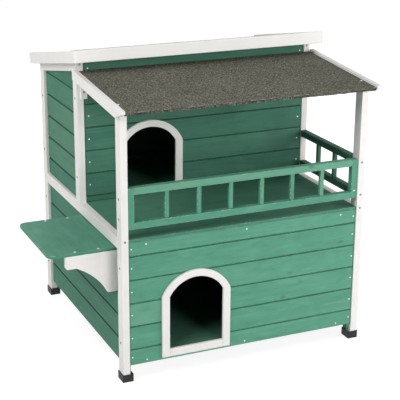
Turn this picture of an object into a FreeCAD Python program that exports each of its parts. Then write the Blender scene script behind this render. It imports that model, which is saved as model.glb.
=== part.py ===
import FreeCAD, Part
import math
import os

import Sketcher

# Two-storey wooden cat house with a balcony under a sloping porch roof, a hinged lid and a side shelf.
# Millimetres and degrees. X runs to the right, the front faces -Y, Z is up and the feet stand on Z = 0.

SIZES = {
    # Frame of posts and rails
    "house_width": 700,
    "house_depth": 660,
    "post_width": 33,
    "post_thick": 19,
    "porch_depth": 324,
    "mid_rail_base": 362,
    "mid_rail_height": 29,
    "top_rail_height": 40,
    # Foot caps
    "cap_height": 21,
    "cap_base": 4,
    "cap_wall": 2.4,
    # Plank walls
    "plank_pitch": 64.4,
    "plank_gap": 0.8,
    "plank_thick": 9,
    "plank_end_gap": 1,
    "wall_bottom": 43,
    "front_first_row": 44.5,
    "upper_first_row": 16.5,
    "side_first_row": 49,
    "front_recess": 3,
    "upper_recess": 1,
    "side_recess": 7,
    "cleat_width": 6,
    "side_cleat_thick": 9,
    "side_cleat_width": 18,
    # Floors
    "floor_thick": 7,
    "ground_floor_lift": 27,
    "ground_floor_thick": 8,
    "batten_width": 18,
    "batten_height": 18,
    # Doorways and their trim
    "door_arc_radius": 86,
    "door_arc_rise": 40,
    "trim_width": 19,
    "trim_thick": 8,
    "door_lip": 4,
    "lower_door_offset": 145,
    "lower_trim_lift": 9,
    "lower_door_spring": 128.7,
    "sill_height": 22,
    "upper_door_offset": 144,
    "upper_door_spring": 109.8,
    # Lid
    "lid_slope": 11,
    "lid_height": 798,
    "lid_gap": 0.4,
    "lid_side_overhang": 20,
    "lid_front_overhang": 44,
    "lid_rear_overhang": 36,
    "lid_deck_thick": 8,
    "felt_thick": 2,
    "fascia_thick": 12,
    "fascia_drop": 18,
    "fascia_lip": 5,
    # Lid hinges
    "hinge_spread": 200,
    "hinge_length": 50,
    "leaf_width": 22,
    "leaf_thick": 1.6,
    "knuckle_radius": 4,
    "knuckle_gap": 0.3,
    "hinge_gap": 0.4,
    "pin_radius": 1.5,
    "pin_clearance": 0.08,
    # Porch roof
    "porch_slope": 4.6,
    "rake_drop": 34,
    "rake_height": 28,
    "rake_thick": 12.5,
    "rake_overhang": 42,
    "rake_nose": 8,
    "felt_drop": 6,
    "porch_overhang": 36,
    "porch_deck_thick": 5.5,
    "deck_gap": 0.5,
    "porch_cleat_width": 12,
    "porch_cleat_height": 12,
    "porch_cleat_setback": 34,
    "block_width": 18,
    "block_thick": 10,
    "block_height": 55,
    "block_inset": 8,
    # Balcony railings
    "railing_height": 134.5,
    "railing_lift": 25,
    "railing_bar": 18.5,
    "railing_depth": 18,
    "railing_setback": 4,
    "stile_width": 18,
    "baluster_width": 11,
    "side_railing_inset": 0.5,
    # Side shelf and its brackets
    "shelf_reach": 175,
    "shelf_length": 271,
    "shelf_thick": 8,
    "shelf_drop": 4,
    "shelf_setback": 52,
    "shelf_corner": 20,
    "bracket_thick": 14,
    "bracket_reach": 137,
    "bracket_height": 113,
    "bracket_nose": 35,
    "bracket_nose_length": 28,
    "bracket_nose_corner": 7,
    "bracket_foot": 26,
    "bracket_curve": 175,
    "bracket_rear_inset": 5,
    # Screws and nails
    "screw_radius": 3.2,
    "screw_height": 0.8,
    "nail_radius": 2.1,
    "nail_height": 0.5,
    "nail_inset": 8,
    "upper_nail_inset": 12.5,
    "cross_nail_inset": 48,
    "cross_nail_edge": 10,
    "stile_nail": 22,
    "railing_screw_low": 53,
    "railing_screw_high": 106,
    "wall_screw_low": 63.5,
    "wall_screw_high": 49,
    "upper_screw_inset": 70,
    "shelf_screw_inset": 48,
    "shelf_screw_spacing": 62,
    "leaf_screw_spacing": 32,
    "leaf_screw_edge": 9,
    "leaf_screw_radius": 2.4,
}
FRONT_BALUSTERS = 6
SIDE_BALUSTERS = 2
# A top row thinner than this share of a row is left joined to the row below it
THIN_ROW = 0.15

doc = FreeCAD.newDocument("cat_house")
dims = doc.addObject("Spreadsheet::Sheet", "dims")
for row, (alias, size) in enumerate(SIZES.items(), start=1):
    dims.set(f"A{row}", alias)
    dims.set(f"B{row}", str(size))
    dims.setAlias(f"B{row}", alias)
doc.recompute()

parts = []


# Building blocks

def value(text):
    return float(dims.evalExpression(text))


def keep(made):
    """Adds a finished piece to those that are written out under their labels."""
    parts.append(made)


def box(name, x, y, z):
    made = doc.addObject("Part::Box", name)
    for side, axis, (low, high) in (("Length", "x", x), ("Width", "y", y), ("Height", "z", z)):
        made.setExpression(side, f"({high}) - ({low})")
        made.setExpression(f"Placement.Base.{axis}", low)
    return made


def tilted_box(name, slope, x, along, up):
    """A box square to a sloping roof: x across, along the slope to the rear, up from its underside."""
    made = doc.addObject("Part::Box", name)
    for side, (low, high) in (("Length", x), ("Width", along), ("Height", up)):
        made.setExpression(side, f"({high}) - ({low})")
    turn = FreeCAD.Rotation(FreeCAD.Vector(slope["sign"], 0, 0), 1)
    made.Placement = FreeCAD.Placement(FreeCAD.Vector(), turn)
    made.setExpression("Placement.Rotation.Angle", slope["angle"])
    made.setExpression("Placement.Base.x", x[0])
    made.setExpression("Placement.Base.y", slope_y(slope, along[0], up[0]))
    made.setExpression("Placement.Base.z", slope_z(slope, along[0], up[0]))
    return made


def slope_y(slope, along, up):
    angle = f"({slope['angle']} * 1deg)"
    return f"{slope['y']} + ({along}) * cos{angle} - {slope['sign']} * ({up}) * sin{angle}"


def slope_z(slope, along, up):
    angle = f"({slope['angle']} * 1deg)"
    return f"{slope['z']} + {slope['sign']} * ({along}) * sin{angle} + ({up}) * cos{angle}"


def cylinder(name, radius, length, axis, x, y, z):
    """A cylinder that runs from the point x, y, z along +X, +Y or +Z."""
    turns = {
        "x": FreeCAD.Rotation(FreeCAD.Vector(0, 1, 0), 90),
        "y": FreeCAD.Rotation(FreeCAD.Vector(1, 0, 0), -90),
        "z": FreeCAD.Rotation(),
    }
    made = doc.addObject("Part::Cylinder", name)
    made.Placement = FreeCAD.Placement(FreeCAD.Vector(), turns[axis])
    made.setExpression("Radius", radius)
    made.setExpression("Height", length)
    for place, text in (("x", x), ("y", y), ("z", z)):
        made.setExpression(f"Placement.Base.{place}", text)
    return made


def boolean(kind, name, base, tool):
    made = doc.addObject(f"Part::{kind}", name)
    made.Base = base
    made.Tool = tool
    return made


def group(name, pieces):
    made = doc.addObject("Part::Compound", name)
    made.Links = pieces
    return made


def prism(name, plane, start, length, corners, arcs=None):
    """A body padded from a closed outline on an origin plane. Each corner is held by two dimensions.

    arcs maps a corner's number to the radius of the round edge that leaves it, turning left if True."""
    arcs = arcs or {}
    body = doc.addObject("PartDesign::Body", name)
    support = next(f for f in body.Origin.OriginFeatures if f.Role == plane)
    sketch = body.newObject("Sketcher::SketchObject", f"{name}_outline")
    sketch.AttachmentSupport = [(support, "")]
    sketch.MapMode = "FlatFace"
    points = [FreeCAD.Vector(value(a), value(b), 0) for a, b in corners]
    count = len(points)
    ends = []
    for i, point in enumerate(points):
        following = points[(i + 1) % count]
        if i in arcs:
            radius, left = arcs[i]
            sketch.addGeometry(round_edge(point, following, value(radius), left))
            ends.append((1, 2) if left else (2, 1))
        else:
            sketch.addGeometry(Part.LineSegment(point, following))
            ends.append((1, 2))
    for i in range(count):
        after = (i + 1) % count
        sketch.addConstraint(Sketcher.Constraint("Coincident", i, ends[i][1], after, ends[after][0]))
    for i, (a, b) in enumerate(corners):
        for kind, text, at in (("DistanceX", a, points[i].x), ("DistanceY", b, points[i].y)):
            number = sketch.addConstraint(Sketcher.Constraint(kind, -1, 1, i, ends[i][0], at))
            sketch.setExpression(f"Constraints[{number}]", text)
    for i, (radius, left) in arcs.items():
        number = sketch.addConstraint(Sketcher.Constraint("Radius", i, value(radius)))
        sketch.setExpression(f"Constraints[{number}]", radius)
    pad = body.newObject("PartDesign::Pad", f"{name}_pad")
    pad.Profile = sketch
    pad.setExpression("Length", length)
    axis = {"YZ_Plane": "x", "XZ_Plane": "y", "XY_Plane": "z"}[plane]
    body.setExpression(f"Placement.Base.{axis}", start)
    return body


def round_edge(first, last, radius, left):
    """The shorter arc of a given radius between two points."""
    chord = last - first
    sagitta = radius - math.sqrt(radius ** 2 - (chord.Length / 2) ** 2)
    side = FreeCAD.Vector(chord.y, -chord.x, 0).normalize()
    middle = (first + last) / 2 + side * (sagitta if left else -sagitta)
    return Part.Arc(first, middle, last)


def plank_rows(bottom, first_row, top):
    """Lower and upper edges of each row of planks, from the bottom up; the top row is cut to fit."""
    height = value(f"({top}) - ({bottom}) - ({first_row})")
    count = 1 + max(1, math.ceil(height / value("dims.plank_pitch") - THIN_ROW))
    seams = [f"{bottom} + {first_row} + {k} * dims.plank_pitch" for k in range(count - 1)]
    lows = [bottom] + [f"{seam} + dims.plank_gap / 2" for seam in seams]
    highs = [f"{seam} - dims.plank_gap / 2" for seam in seams] + [top]
    return list(zip(lows, highs))


def plank_wall(name, x, y, bottom, first_row, top):
    rows = plank_rows(bottom, first_row, top)
    return group(name, [box(f"{name}_row", x, y, row) for row in rows])


# Datum lines, as expressions of the sheet

SIDES = {"left": -1, "right": 1}

centre_x = "(dims.shelf_reach - dims.lid_side_overhang) / 2"
centre_y = "(dims.rake_overhang - dims.lid_rear_overhang) / 2"
front = f"{centre_y} - dims.house_depth / 2"
rear = f"{centre_y} + dims.house_depth / 2"
porch = f"{front} + dims.porch_depth"
floor = "dims.mid_rail_base + dims.mid_rail_height"
floor_base = f"{floor} - dims.floor_thick"
batten_base = f"{floor_base} - dims.batten_height"
ground_floor = "dims.wall_bottom + dims.ground_floor_lift"


def across(side, depth):
    """X span on one side of the house between two depths behind the outer face of its frame."""
    sign = SIDES[side]
    edges = [f"{centre_x} + {sign} * (dims.house_width / 2 - ({d}))" for d in depth]
    return tuple(edges if side == "left" else reversed(edges))


def between(inset):
    """X span of a piece that runs from side to side, inset from the outer faces of the side frames."""
    return across("left", (inset, inset))[0], across("right", (inset, inset))[0]


def lid_underside(y):
    return f"dims.lid_height - tan(dims.lid_slope * 1deg) * ({y} - ({porch}))"


def frame_top(y):
    return f"{lid_underside(y)} - dims.lid_gap"


def rake_edge(y):
    """Height of the rake boards' upper edge."""
    return f"dims.lid_height - dims.rake_drop + tan(dims.porch_slope * 1deg) * ({y} - ({porch}))"


porch_stack = "(dims.porch_deck_thick + dims.felt_thick)"
deck_gap_rise = "tan(dims.porch_slope * 1deg) * dims.deck_gap"


def deck_base(y):
    """Height of the porch deck's underside."""
    return f"{rake_edge(y)} - dims.felt_drop - {porch_stack} + {deck_gap_rise}"


# Side frames: posts, rails, and rake boards on the outer faces of the posts

frame_depth = ("0", "dims.post_thick")
front_post_back = f"{front} + dims.post_width"
mid_post_back = f"{porch} + dims.post_width"
rear_post_front = f"{rear} - dims.post_width"


def side_profile(name, side, depth, corners):
    x = across(side, depth)
    return prism(name, "YZ_Plane", x[0], f"({x[1]}) - ({x[0]})", corners)


def build_side_frame(side):
    keep(side_profile(f"front_post_{side}", side, frame_depth, [
        (front, "dims.cap_base"), (front_post_back, "dims.cap_base"),
        (front_post_back, deck_base(front_post_back)), (front, deck_base(front))]))
    keep(side_profile(f"middle_post_{side}", side, frame_depth, [
        (porch, floor), (mid_post_back, floor),
        (mid_post_back, frame_top(mid_post_back)), (porch, frame_top(porch))]))
    keep(side_profile(f"rear_post_{side}", side, frame_depth, [
        (rear_post_front, "dims.cap_base"), (rear, "dims.cap_base"),
        (rear, frame_top(rear)), (rear_post_front, frame_top(rear_post_front))]))
    keep(box(f"mid_rail_{side}", across(side, frame_depth), (front_post_back, rear_post_front),
             ("dims.mid_rail_base", floor)))
    keep(side_profile(f"top_rail_{side}", side, frame_depth, [
        (mid_post_back, top_rail_base(mid_post_back)), (rear_post_front, top_rail_base(rear_post_front)),
        (rear_post_front, frame_top(rear_post_front)), (mid_post_back, frame_top(mid_post_back))]))
    tip = f"{front} - dims.rake_overhang"
    keep(side_profile(f"rake_board_{side}", side, ("-dims.rake_thick", "0"), [
        (porch, f"{rake_edge(porch)} - dims.rake_height"), (porch, rake_edge(porch)),
        (tip, rake_edge(tip)), (tip, f"{rake_edge(tip)} - dims.rake_nose"),
        (front, f"{rake_edge(front)} - dims.rake_height")]))


def top_rail_base(y):
    return f"{frame_top(y)} - dims.top_rail_height"


# Side walls: planks set into the frames, held by cleats behind them

side_face = ("dims.side_recess", "dims.side_recess + dims.plank_thick")
side_cleat = (side_face[1], f"{side_face[1]} + dims.side_cleat_thick")


def build_side_walls(side):
    planks = across(side, side_face)
    low_y = (f"{front_post_back} + dims.plank_end_gap", f"{rear_post_front} - dims.plank_end_gap")
    keep(plank_wall(f"lower_side_planks_{side}", planks, low_y, "dims.wall_bottom",
                    "dims.plank_pitch", "dims.mid_rail_base"))

    high_y = (f"{mid_post_back} + dims.plank_end_gap", low_y[1])
    rows = plank_wall(f"upper_side_rows_{side}", planks, high_y, floor, "dims.side_first_row",
                      top_rail_base(high_y[0]))
    outline = side_profile(f"upper_side_outline_{side}", side, side_face, [
        (high_y[0], floor), (high_y[1], floor),
        (high_y[1], top_rail_base(high_y[1])), (high_y[0], top_rail_base(high_y[0]))])
    keep(boolean("Common", f"upper_side_planks_{side}", rows, outline))

    x = across(side, side_cleat)
    at_front = (front_post_back, f"{front_post_back} + dims.side_cleat_width")
    at_middle = (mid_post_back, f"{mid_post_back} + dims.side_cleat_width")
    at_rear = (f"{rear_post_front} - dims.side_cleat_width", rear_post_front)
    low_z = ("dims.wall_bottom", f"min(dims.mid_rail_base; {batten_base})")
    spans = [
        (at_front, low_z),
        (at_rear, low_z),
        (at_middle, (floor, top_rail_base(at_middle[1]))),
        (at_rear, (floor, top_rail_base(at_rear[1]))),
    ]
    keep(group(f"side_cleats_{side}", [box(f"side_cleat_{side}", x, y, z) for y, z in spans]))


# Doorways: an arched cut through the planks, framed by arch, jambs and sill

def door_width(radius):
    """Half the width of a doorway where its arc of the given radius meets the jambs."""
    return f"sqrt(pow({radius}; 2) - pow(dims.door_arc_rise; 2))"


outer_radius = "(dims.door_arc_radius + dims.trim_width)"
door_half = door_width("dims.door_arc_radius")
trim_half = door_width(outer_radius)


def door_cut(name, x, y, bottom, arc_height):
    radius = "(dims.door_arc_radius + dims.door_lip)"
    half = door_width(radius)
    depth = f"({y[1]}) - ({y[0]})"
    opening = box(f"{name}_opening", (f"{x} - {half}", f"{x} + {half}"), y, (bottom, arc_height))
    arc = cylinder(f"{name}_arc", radius, depth, "y", x, y[0], arc_height)
    return boolean("Fuse", name, opening, arc)


def build_door_trim(name, x, face, bottom, arc_height, sill):
    """Flat white trim in front of a plank face."""
    y = (f"{face} - dims.trim_thick", face)
    depth = "dims.trim_thick"
    joint = f"{arc_height} + dims.door_arc_rise"
    ring = boolean("Cut", f"{name}_ring",
                   cylinder(f"{name}_ring_outer", outer_radius, depth, "y", x, y[0], arc_height),
                   cylinder(f"{name}_ring_inner", "dims.door_arc_radius", depth, "y", x, y[0],
                            arc_height))
    above = box(f"{name}_above", (f"{x} - {outer_radius}", f"{x} + {outer_radius}"), y,
                (joint, f"{arc_height} + {outer_radius}"))
    keep(boolean("Common", f"{name}_arch", ring, above))
    jambs = [
        box(f"{name}_jamb", (f"{x} - {trim_half}", f"{x} - {door_half}"), y, (bottom, joint)),
        box(f"{name}_jamb", (f"{x} + {door_half}", f"{x} + {trim_half}"), y, (bottom, joint)),
    ]
    keep(group(f"{name}_jambs", jambs))
    if sill:
        keep(box(f"{name}_sill", (f"{x} - {door_half}", f"{x} + {door_half}"), y,
                 (bottom, f"{bottom} + dims.sill_height")))


# Front, porch and rear walls

plank_span = between("dims.post_thick + dims.plank_end_gap")
frame_span = between("dims.post_thick")
front_face = f"{front} + dims.front_recess"
front_back = f"{front_face} + dims.plank_thick"
upper_face = f"{porch} + dims.upper_recess"
upper_back = f"{upper_face} + dims.plank_thick"
rear_face = f"{rear} - dims.front_recess"
rear_back = f"{rear_face} - dims.plank_thick"
lower_door_x = f"{centre_x} - dims.lower_door_offset"
upper_door_x = f"{centre_x} - dims.upper_door_offset"


def wall_cleats(name, y, *heights):
    """A narrow cleat against the inner face of the post at each end of a wall."""
    depth = ("dims.post_thick", "dims.post_thick + dims.cleat_width")
    cleats = [box(f"{name}_{side}", across(side, depth), y, z) for side in SIDES for z in heights]
    return group(name, cleats)


def build_front_wall():
    rows = plank_wall("front_rows", plank_span, (front_face, front_back), "dims.wall_bottom",
                      "dims.front_first_row", floor_base)
    trim_base = "dims.wall_bottom + dims.lower_trim_lift"
    spring = f"{trim_base} + dims.lower_door_spring"
    cut = door_cut("lower_door_cut", lower_door_x, (front_face, front_back),
                   f"{trim_base} + dims.sill_height - dims.door_lip", spring)
    keep(boolean("Cut", "front_planks", rows, cut))
    keep(wall_cleats("front_cleats", (front_back, front_post_back), ("dims.cap_base", floor_base)))
    build_door_trim("lower_door", lower_door_x, front_face, trim_base, spring, True)


def build_upper_wall():
    top = frame_top(upper_back)
    rows = plank_wall("upper_rows", plank_span, (upper_face, upper_back), floor,
                      "dims.upper_first_row", top)
    spring = f"{floor} + dims.upper_door_spring"
    cut = door_cut("upper_door_cut", upper_door_x, (upper_face, upper_back), floor, spring)
    keep(boolean("Cut", "upper_wall_planks", rows, cut))
    keep(wall_cleats("upper_wall_cleats", (upper_back, mid_post_back), (floor, frame_top(mid_post_back))))
    build_door_trim("upper_door", upper_door_x, upper_face, floor, spring, False)


def build_rear_wall():
    rail_front = f"{rear} - dims.post_thick"
    rail_base = f"{frame_top(rear)} - dims.top_rail_height"
    keep(plank_wall("rear_planks", plank_span, (rear_back, rear_face), "dims.wall_bottom",
                    "dims.front_first_row", rail_base))
    keep(wall_cleats("rear_cleats", (rear_post_front, rear_back), ("dims.cap_base", floor_base),
                     (floor, rail_base)))
    width = f"({frame_span[1]}) - ({frame_span[0]})"
    keep(prism("rear_top_rail", "YZ_Plane", frame_span[0], width, [
        (rail_front, rail_base), (rear, rail_base),
        (rear, frame_top(rear)), (rail_front, frame_top(rail_front))]))


# Floors and the battens that carry them

def build_floors():
    keep(box("balcony_floor", frame_span, (front_face, rear_back), (floor_base, floor)))
    ground_base = f"{ground_floor} - dims.ground_floor_thick"
    inset = f"max({side_cleat[1]}; dims.post_thick + dims.cleat_width)"
    keep(box("ground_floor", between(inset), (front_back, rear_back), (ground_base, ground_floor)))
    battens = []
    for side in SIDES:
        upper_x = across(side, ("dims.post_thick", "dims.post_thick + dims.batten_width"))
        battens.append(box(f"upper_batten_{side}", upper_x, (front_post_back, rear_post_front),
                           (batten_base, floor_base)))
        lower_x = across(side, (side_face[1], f"{side_face[1]} + dims.batten_width"))
        lower_y = (f"{front_post_back} + dims.side_cleat_width",
                   f"{rear_post_front} - dims.side_cleat_width")
        battens.append(box(f"lower_batten_{side}", lower_x, lower_y,
                           (f"{ground_base} - dims.batten_height", ground_base)))
    keep(group("floor_battens", battens))


# Porch roof: a felted deck on the front posts, between the rake boards and notched for the middle posts

porch_slope = {
    "angle": "dims.porch_slope",
    "sign": 1,
    "y": f"{upper_face} - dims.deck_gap",
    "z": f"{rake_edge(upper_face)} - dims.felt_drop - {porch_stack}",
}


def block_top(y):
    return f"{deck_base(y)} - dims.porch_cleat_height"


def build_porch_roof():
    run = "(dims.porch_depth + dims.upper_recess + dims.porch_overhang)"
    length = f"({run} / cos(dims.porch_slope * 1deg))"
    x = between("dims.deck_gap")
    shoulder = "-(dims.upper_recess + dims.deck_gap)"
    front_end = f"dims.felt_thick - {length}"
    slab = ("0", "dims.porch_deck_thick")
    cover = ("dims.porch_deck_thick", porch_stack)

    def notched(name, level):
        wide = tilted_box(f"{name}_sheet", porch_slope, x, (front_end, shoulder), level)
        tongue = tilted_box(f"{name}_tongue", porch_slope, between("dims.post_thick + dims.deck_gap"),
                            (f"{shoulder} - dims.post_width", "-dims.deck_gap"), level)
        return boolean("Fuse", name, wide, tongue)

    keep(notched("porch_deck", slab))
    fold = tilted_box("porch_felt_fold", porch_slope, x, (f"-{length}", front_end), ("0", porch_stack))
    keep(boolean("Fuse", "porch_felt", notched("porch_felt_flat", cover), fold))
    cleats = []
    for side in SIDES:
        width = ("0", "dims.porch_cleat_width")
        along = (f"dims.porch_cleat_setback + dims.porch_overhang - {length}", shoulder)
        cleats.append(tilted_box(f"porch_cleat_{side}", porch_slope, across(side, width), along,
                                 ("-dims.porch_cleat_height", "0")))
    keep(group("porch_cleats", cleats))
    blocks = []
    for side in SIDES:
        x = across(side, ("dims.block_inset", "dims.block_inset + dims.block_width"))
        face = f"{porch} - dims.block_thick"
        base = f"{block_top(face)} - dims.block_height"
        blocks.append(prism(f"roof_block_{side}", "YZ_Plane", x[0], "dims.block_width", [
            (face, base), (porch, base),
            (porch, block_top(porch)), (face, block_top(face))]))
    keep(group("roof_blocks", blocks))


# Lid: a felted deck behind three fascia boards, turning on two hinges at the rear

lid_slope = {"angle": "dims.lid_slope", "sign": -1, "y": porch, "z": "dims.lid_height"}
lid_stack = "(dims.lid_deck_thick + dims.felt_thick)"
lid_front = "-dims.lid_front_overhang"
lid_reach = f"({rear} + dims.lid_rear_overhang - ({porch}))"
lid_tip_rise = f"({lid_stack} + dims.fascia_lip) * sin(dims.lid_slope * 1deg)"
lid_rear = f"(({lid_reach} - {lid_tip_rise}) / cos(dims.lid_slope * 1deg))"
knuckle_offset = "(dims.knuckle_radius + dims.hinge_gap)"
axis_y = f"({rear} + {knuckle_offset})"
axis_rise = f"{knuckle_offset} * sin(dims.lid_slope * 1deg)"
axis_along = f"(({axis_y} - ({porch}) + {axis_rise}) / cos(dims.lid_slope * 1deg))"
axis_z = f"({slope_z(lid_slope, axis_along, f'-{knuckle_offset}')})"


def build_lid():
    inner = between("dims.fascia_thick - dims.lid_side_overhang")
    fascia_back = f"{lid_front} + dims.fascia_thick"
    deck_rear = f"{lid_rear} - dims.felt_thick"
    keep(tilted_box("lid_deck", lid_slope, inner, (fascia_back, deck_rear), ("0", "dims.lid_deck_thick")))
    sheet = tilted_box("lid_felt_sheet", lid_slope, inner, (fascia_back, deck_rear),
                       ("dims.lid_deck_thick", lid_stack))
    fold = tilted_box("lid_felt_fold", lid_slope, inner, (deck_rear, lid_rear), ("0", lid_stack))
    keep(boolean("Fuse", "lid_felt", sheet, fold))
    rise = ("-dims.fascia_drop", f"{lid_stack} + dims.fascia_lip")
    keep(tilted_box("lid_front_fascia", lid_slope, between("-dims.lid_side_overhang"),
                    (lid_front, fascia_back), rise))
    for side in SIDES:
        x = across(side, ("-dims.lid_side_overhang", "dims.fascia_thick - dims.lid_side_overhang"))
        keep(tilted_box(f"lid_fascia_{side}", lid_slope, x, (fascia_back, lid_rear), rise))


def knuckle_spans(x):
    """Three knuckles of equal length along the pin, with a small gap between them."""
    step = "(dims.hinge_length / 3)"
    start = f"{x} - dims.hinge_length / 2"
    low, high = f"{start} + {step}", f"{start} + 2 * {step}"
    gap = "dims.knuckle_gap / 2"
    return [
        (start, f"{low} - {gap}"),
        (f"{low} + {gap}", f"{high} - {gap}"),
        (f"{high} + {gap}", f"{start} + dims.hinge_length"),
    ]


def knuckle(name, span):
    length = f"({span[1]}) - ({span[0]})"
    return cylinder(name, "dims.knuckle_radius", length, "x", span[0], axis_y, axis_z)


def bored(name, base, x):
    bore = cylinder(f"{name}_bore", "dims.pin_radius + dims.pin_clearance", "dims.hinge_length", "x",
                    f"{x} - dims.hinge_length / 2", axis_y, axis_z)
    return boolean("Cut", name, base, bore)


def build_hinges():
    wall_leaves, lid_leaves, pins = [], [], []
    for side, sign in SIDES.items():
        x = f"{centre_x} + {sign} * dims.hinge_spread"
        first, middle, last = knuckle_spans(x)
        plates = [box(f"wall_plate_{side}", span, (rear, f"{rear} + dims.leaf_thick"),
                      (f"{axis_z} - dims.leaf_width", axis_z)) for span in (first, last)]
        web = box(f"wall_web_{side}", (first[0], last[1]), (rear, f"{rear} + dims.leaf_thick"),
                  (f"{axis_z} - dims.leaf_width", f"{axis_z} - {knuckle_offset}"))
        leaf = doc.addObject("Part::MultiFuse", f"wall_leaf_solid_{side}")
        leaf.Shapes = plates + [web] + [knuckle(f"wall_knuckle_{side}", span) for span in (first, last)]
        wall_leaves.append(bored(f"wall_leaf_{side}", leaf, x))

        under = ("-dims.leaf_thick", "0")
        plate = tilted_box(f"lid_plate_{side}", lid_slope, middle,
                           (axis_along, f"{axis_along} + dims.leaf_width"), under)
        wing = tilted_box(f"lid_wing_{side}", lid_slope, (first[0], last[1]),
                          (f"{axis_along} + {knuckle_offset}", f"{axis_along} + dims.leaf_width"), under)
        leaf = doc.addObject("Part::MultiFuse", f"lid_leaf_solid_{side}")
        leaf.Shapes = [plate, wing, knuckle(f"lid_knuckle_{side}", middle)]
        lid_leaves.append(bored(f"lid_leaf_{side}", leaf, x))

        pins.append(cylinder(f"pin_{side}", "dims.pin_radius", "dims.hinge_length", "x",
                             f"{x} - dims.hinge_length / 2", axis_y, axis_z))
    keep(group("hinge_wall_leaves", wall_leaves))
    keep(group("hinge_lid_leaves", lid_leaves))
    keep(group("hinge_pins", pins))


# Balcony railings: stiles, two rails and balusters between them

railing_top = f"{floor} + dims.railing_height"
railing_base = f"{floor} + dims.railing_lift"
top_bar = (f"{railing_top} - dims.railing_bar", railing_top)
bottom_bar = (railing_base, f"{railing_base} + dims.railing_bar")
upright = (bottom_bar[1], top_bar[0])


def shares(low, high, count, width):
    """Spans of equal width whose centres divide the stretch from low to high evenly."""
    spans = []
    for k in range(1, count + 1):
        middle = f"{low} + (({high}) - ({low})) * {k} / {count + 1}"
        spans.append((f"{middle} - {width} / 2", f"{middle} + {width} / 2"))
    return spans


def build_front_railing():
    near = f"{front} + dims.railing_setback"
    y = (near, f"{near} + dims.railing_depth")
    stile = ("dims.post_thick", "dims.post_thick + dims.stile_width")
    full = (railing_base, railing_top)
    keep(group("front_railing_stiles", [
        box(f"front_stile_{side}", across(side, stile), y, full) for side in SIDES]))
    x = between(stile[1])
    keep(box("front_railing_top", x, y, top_bar))
    keep(box("front_railing_bottom", x, y, bottom_bar))
    depth = shares(y[0], y[1], 1, "dims.baluster_width")[0]
    keep(group("front_balusters", [
        box("front_baluster", span, depth, upright)
        for span in shares(x[0], x[1], FRONT_BALUSTERS, "dims.baluster_width")]))


def build_side_railing():
    inset = "dims.side_railing_inset"
    x = across("right", (inset, f"{inset} + dims.railing_depth"))
    stile = (front_post_back, f"{front_post_back} + dims.stile_width")
    keep(box("side_railing_stile", x, stile, (railing_base, railing_top)))
    y = (stile[1], porch)
    keep(box("side_railing_top", x, y, top_bar))
    keep(box("side_railing_bottom", x, y, bottom_bar))
    depth = shares(x[0], x[1], 1, "dims.baluster_width")[0]
    keep(group("side_balusters", [
        box("side_baluster", depth, span, upright)
        for span in shares(y[0], y[1], SIDE_BALUSTERS, "dims.baluster_width")]))


# Side shelf on two brackets

shelf_out = f"{centre_x} - dims.house_width / 2 - dims.shelf_reach"
shelf_in = across("left", (side_face[0], side_face[0]))[0]
shelf_front = f"{front} + dims.shelf_setback"
shelf_rear = f"{shelf_front} + dims.shelf_length"
shelf_top = "dims.mid_rail_base - dims.shelf_drop"
shelf_base = f"{shelf_top} - dims.shelf_thick"
bracket_rear = f"{shelf_rear} - dims.bracket_rear_inset"
brackets = {
    "front": (shelf_front, f"{shelf_front} + dims.bracket_thick"),
    "rear": (f"{bracket_rear} - dims.bracket_thick", bracket_rear),
}


def build_shelf():
    corner = "dims.shelf_corner"
    keep(prism("shelf_board", "XY_Plane", shelf_base, "dims.shelf_thick", [
        (shelf_in, shelf_front), (shelf_in, shelf_rear),
        (f"{shelf_out} + {corner}", shelf_rear), (shelf_out, f"{shelf_rear} - {corner}"),
        (shelf_out, f"{shelf_front} + {corner}"), (f"{shelf_out} + {corner}", shelf_front)],
        arcs={2: (corner, True), 4: (corner, True)}))

    nose = f"{shelf_in} - dims.bracket_reach"
    nose_base = f"{shelf_base} - dims.bracket_nose"
    foot_z = f"{shelf_base} - dims.bracket_height"
    cut = "dims.bracket_nose_corner"
    for end, (near, far) in brackets.items():
        keep(prism(f"shelf_bracket_{end}", "XZ_Plane", far, "dims.bracket_thick", [
            (shelf_in, shelf_base), (nose, shelf_base),
            (nose, f"{nose_base} + {cut}"), (f"{nose} + {cut}", nose_base),
            (f"{nose} + dims.bracket_nose_length", nose_base),
            (f"{shelf_in} - dims.bracket_foot", foot_z), (shelf_in, foot_z)],
            arcs={2: (cut, True), 4: ("dims.bracket_curve", False)}))


# Foot caps round the foot of each post and its cleat

def build_foot_caps():
    caps = []
    wall = "dims.cap_wall"
    for side in SIDES:
        pocket_x = across(side, ("0", "dims.post_thick + dims.cleat_width"))
        for end, y in (("front", (front, front_post_back)), ("rear", (rear_post_front, rear))):
            name = f"cap_{end}_{side}"
            outer = box(f"{name}_outer", (f"{pocket_x[0]} - {wall}", f"{pocket_x[1]} + {wall}"),
                        (f"{y[0]} - {wall}", f"{y[1]} + {wall}"), ("0", "dims.cap_height"))
            pocket = box(f"{name}_pocket", pocket_x, y, ("dims.cap_base", "dims.cap_height"))
            caps.append(boolean("Cut", name, outer, pocket))
    keep(group("foot_caps", caps))


# Screw and nail heads

def side_head(name, side, y, z):
    x = across(side, ("-dims.screw_height", "0"))[0]
    return cylinder(name, "dims.screw_radius", "dims.screw_height", "x", x, y, z)


def front_head(name, kind, x, face, z):
    return cylinder(name, f"dims.{kind}_radius", f"dims.{kind}_height", "y", x,
                    f"{face} - dims.{kind}_height", z)


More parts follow.
